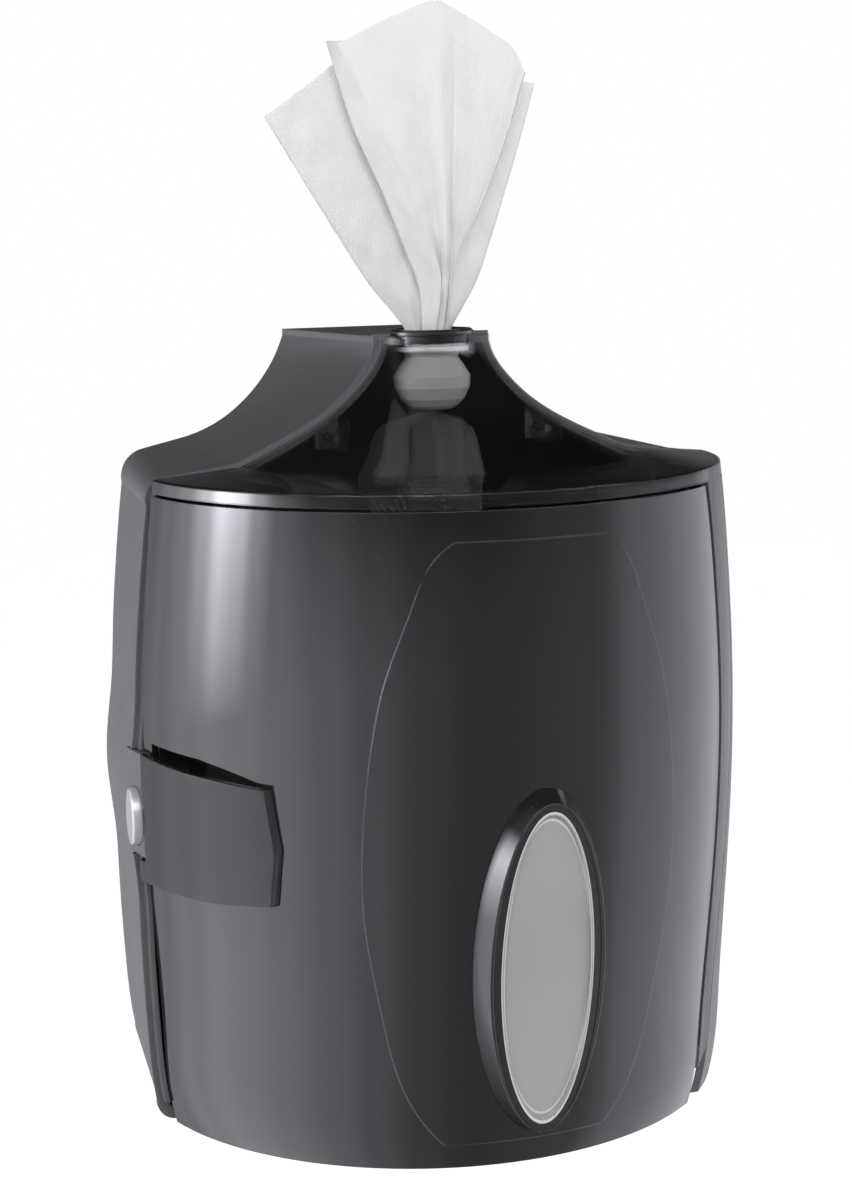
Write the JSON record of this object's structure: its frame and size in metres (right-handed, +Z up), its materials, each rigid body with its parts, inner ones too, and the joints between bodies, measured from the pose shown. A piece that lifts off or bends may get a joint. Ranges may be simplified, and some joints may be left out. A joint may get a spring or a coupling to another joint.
{
  "type": "wall-mounted wipes dispenser",
  "caption": "Wall dispenser for a centre-pull roll of wipes: domed top with a nozzle, bulging side-hinged door with an oval sight window, pull band and push-button latch.",
  "frame": {"origin": "centre of the four wall screw holes, on the wall plane", "axes": "+Z up, +Y into the wall, +X to the right when facing the dispenser"},
  "size_m": [0.2893, 0.2428, 0.5],
  "materials": {
    "grey_shell": "satin",
    "smoke_clear": "gloss",
    "door_gloss": "gloss",
    "dark_gloss": "gloss",
    "black_rubber": "matte",
    "frosted_lens": "frosted",
    "silver_button": "satin",
    "pale_plastic": "satin",
    "steel": "satin",
    "wipe_cloth": "matte"
  },
  "bodies": {
    "base": {"rear_housing": "grey_shell", "hood": "smoke_clear", "hood_screws": "steel", "nozzle_ring": "dark_gloss", "nozzle_cup": "pale_plastic", "latch_housing": "grey_shell", "latch_housing_screws": "steel", "button_spring": "steel", "hinge_bracket_upper": "grey_shell", "hinge_bracket_lower": "grey_shell", "hinge_pin_upper": "steel", "hinge_pin_lower": "steel", "base_tray": "pale_plastic", "tray_screws": "steel", "wipe_roll": "wipe_cloth", "wipe_strand": "wipe_cloth", "wipe_sheet": "wipe_cloth"},
    "door": {"front_door": "door_gloss", "door_grip": "smoke_clear", "grip_screws": "steel", "grip_pocket": "dark_gloss", "window_bezel": "dark_gloss", "window_gasket": "black_rubber", "window_lens": "frosted_lens", "lens_retainer": "dark_gloss", "retainer_screws": "steel", "strike_plate": "steel", "strike_screws": "steel", "hinge_arm_upper": "pale_plastic", "hinge_arm_lower": "pale_plastic", "hinge_arm_screws": "steel"},
    "button": {"latch_button": "silver_button", "latch_slider": "pale_plastic"}
  },
  "joints": [
    {"name": "door_hinge", "type": "hinge", "parent": "base", "child": "door", "pos_m": [0.1025, -0.1737, 0], "axis": [0, 0, 1], "range_deg": [0, 90]},
    {"name": "button_press", "type": "slide", "parent": "base", "child": "button", "axis": [1, 0, 0], "range_m": [0, 0.004], "stiffness_N_per_m": 1200, "springref_m": -0.002, "deforming": ["button_spring"]}
  ]
}
